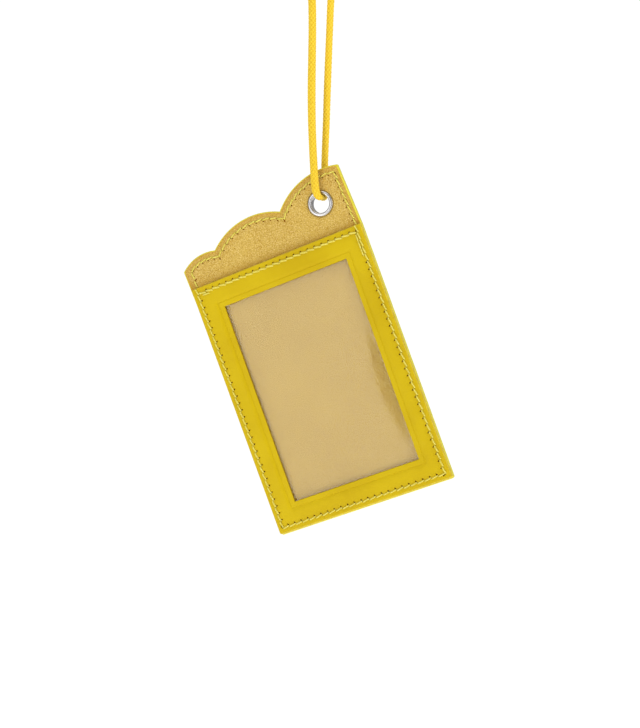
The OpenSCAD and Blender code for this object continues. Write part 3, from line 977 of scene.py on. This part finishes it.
# --- eyelet and sheet --------------------------------------------------------------------------------
def lathe(profile, count=96):
    """A closed ring from (radius, depth) points, turned about the eyelet's axis."""
    n = len(profile)
    verts, faces = [], []
    for k in range(count):
        a = 2 * math.pi * k / count
        verts.extend((r * math.cos(a), y, r * math.sin(a)) for r, y in profile)
        after = (k + 1) % count
        for i in range(n):
            j = (i + 1) % n
            faces.append([k * n + i, k * n + j, after * n + j, after * n + i])
    return verts, faces


def dome(r0, r1, base, height, count=9):
    """Half-round cross-section from radius r0 to r1, standing height out of depth base."""
    points = []
    for k in range(count + 1):
        a = math.pi * k / count
        points.append(((r0 + r1) / 2 - (r1 - r0) / 2 * math.cos(a), base + height * math.sin(a) ** 0.8))
    return points


def make_eyelet():
    barrel_out = HOLE_R + BARREL_WALL
    roll_base = Y_BACK + WASHER_T
    front = dome(HOLE_R, HOLE_R + RIM_W, Y_SUEDE, -RIM_H)
    back = dome(HOLE_R, HOLE_R + ROLL_W, roll_base, ROLL_H)
    profile = front + [(barrel_out, Y_SUEDE + 0.02), (barrel_out, roll_base - 0.02)] + back[::-1]
    made = piece("eyelet_rolled", "tag", "nickel", *lathe(profile), [NICKEL], TAG_PLANE, sharp=50.0)
    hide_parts("eyelet_barrel")
    inner, outer = barrel_out + 0.06, WASHER_R
    ring = [
        (inner, Y_BACK), (inner, roll_base), (outer - 0.35, roll_base), (outer - 0.12, roll_base - 0.07),
        (outer, roll_base - 0.18), (outer, Y_BACK),
    ]
    made = piece("eyelet_washer_ring", "tag", "nickel", *lathe(ring), [NICKEL], TAG_PLANE, sharp=40.0)
    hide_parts("eyelet_washer")


def make_film():
    """The clear sheet, bowed a little into the window where nothing holds it."""
    inset, most_bow = 0.5, 0.4
    u0, v0 = POCKET[0] + inset, POCKET[1] + inset
    width, height = POCKET_W - 2 * inset, FRAME_TOP - inset - v0
    cols, rows = 48, 72
    verts = []
    for face in (0, 1):
        for j in range(rows + 1):
            for i in range(cols + 1):
                u, v = u0 + width * i / cols, v0 + height * j / rows
                a = min(1.0, max(0.0, (u - WINDOW[0]) / WINDOW_W))
                b = min(1.0, max(0.0, (v - WINDOW[1]) / WINDOW_H))
                bow = most_bow * math.sin(math.pi * a) * math.sin(math.pi * b) ** 0.7
                verts.append((u, Y_POCKET + face * SHEET_T - bow, v))
    layer = (cols + 1) * (rows + 1)
    faces = []
    for j in range(rows):
        for i in range(cols):
            a = j * (cols + 1) + i
            quad = [a, a + 1, a + cols + 2, a + cols + 1]
            faces.append(quad)
            faces.append([q + layer for q in quad[::-1]])
    rim = list(range(cols)) + [cols + j * (cols + 1) for j in range(rows)]
    rim += [rows * (cols + 1) + i for i in range(cols, 0, -1)] + [j * (cols + 1) for j in range(rows, 0, -1)]
    faces.extend([a, b, b + layer, a + layer] for a, b in zip(rim, rim[1:] + rim[:1]))
    made = piece("window_film", "tag", "clear_sheet", verts, faces, [FILM], TAG_PLANE, sharp=60.0)
    made.visible_shadow = False
    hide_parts("window_sheet")


make_eyelet()
make_film()


# --- studio ------------------------------------------------------------------------------------------
def soft_light(name, place, size, energy, aim=(0.0, 0.0, -0.16), roll=0.0):
    data = bpy.data.lights.new(name, "AREA")
    data.shape = "RECTANGLE"
    data.size, data.size_y = size
    data.energy = energy
    light = bpy.data.objects.new(name, data)
    light.location = place
    light.rotation_mode = "QUATERNION"
    ahead = Vector(aim) - Vector(place)
    light.rotation_quaternion = Quaternion(ahead, math.radians(roll)) @ ahead.to_track_quat("-Z", "Y")
    bpy.context.scene.collection.objects.link(light)


def white_room():
    """A white background for the camera, and a dimmer pale room for the light and the reflections."""
    world = bpy.data.worlds.new("studio")
    bpy.context.scene.world = world
    world.use_nodes = True
    tree = world.node_tree
    tree.nodes.clear()
    seen = tree.nodes.new("ShaderNodeBackground")
    seen.inputs["Color"].default_value = (1, 1, 1, 1)
    seen.inputs["Strength"].default_value = 1.05
    lit = tree.nodes.new("ShaderNodeBackground")
    lit.inputs["Color"].default_value = (1, 1, 1, 1)
    place = tree.nodes.new("ShaderNodeTexCoord")
    height = tree.nodes.new("ShaderNodeSeparateXYZ")
    level = tree.nodes.new("ShaderNodeMapRange")
    tree.links.new(place.outputs["Generated"], height.inputs[0])
    tree.links.new(height.outputs["Z"], level.inputs["Value"])
    for socket, value in (("From Min", -0.4), ("From Max", 0.7), ("To Min", 0.24), ("To Max", 0.6)):
        level.inputs[socket].default_value = value
    tree.links.new(level.outputs["Result"], lit.inputs["Strength"])
    path = tree.nodes.new("ShaderNodeLightPath")
    mix = tree.nodes.new("ShaderNodeMixShader")
    out = tree.nodes.new("ShaderNodeOutputWorld")
    tree.links.new(path.outputs["Is Camera Ray"], mix.inputs[0])
    tree.links.new(lit.outputs[0], mix.inputs[1])
    tree.links.new(seen.outputs[0], mix.inputs[2])
    tree.links.new(mix.outputs[0], out.inputs["Surface"])


def pale_floor():
    """A pale floor well below the hanging tag."""
    size, low = 3.0, -0.9
    mesh = bpy.data.meshes.new("floor")
    corners = [(-size, -size, low), (size, -size, low), (size, size, low), (-size, size, low)]
    mesh.from_pydata(corners, [], [(0, 1, 2, 3)])
    floor = bpy.data.objects.new("floor", mesh)
    bpy.context.scene.collection.objects.link(floor)
    s = Shader("pale_floor", Roughness=0.8)
    s.principled.inputs["Base Color"].default_value = (0.9, 0.9, 0.9, 1)
    s.principled.inputs["Emission Color"].default_value = (1, 1, 1, 1)
    s.principled.inputs["Emission Strength"].default_value = 0.75
    mesh.materials.append(s.material)


white_room()
pale_floor()
soft_light("key", (-0.353, -0.8, -0.237), (0.42, 0.9), 2.75, aim=(-0.353, 0.0, -0.237), roll=-11.5)
soft_light("fill", (0.85, -0.12, -0.1), (0.7, 0.7), 4.3)
soft_light("top", (0.0, -0.35, 0.65), (0.7, 0.5), 2.2)
bpy.context.scene.view_settings.view_transform = "Standard"
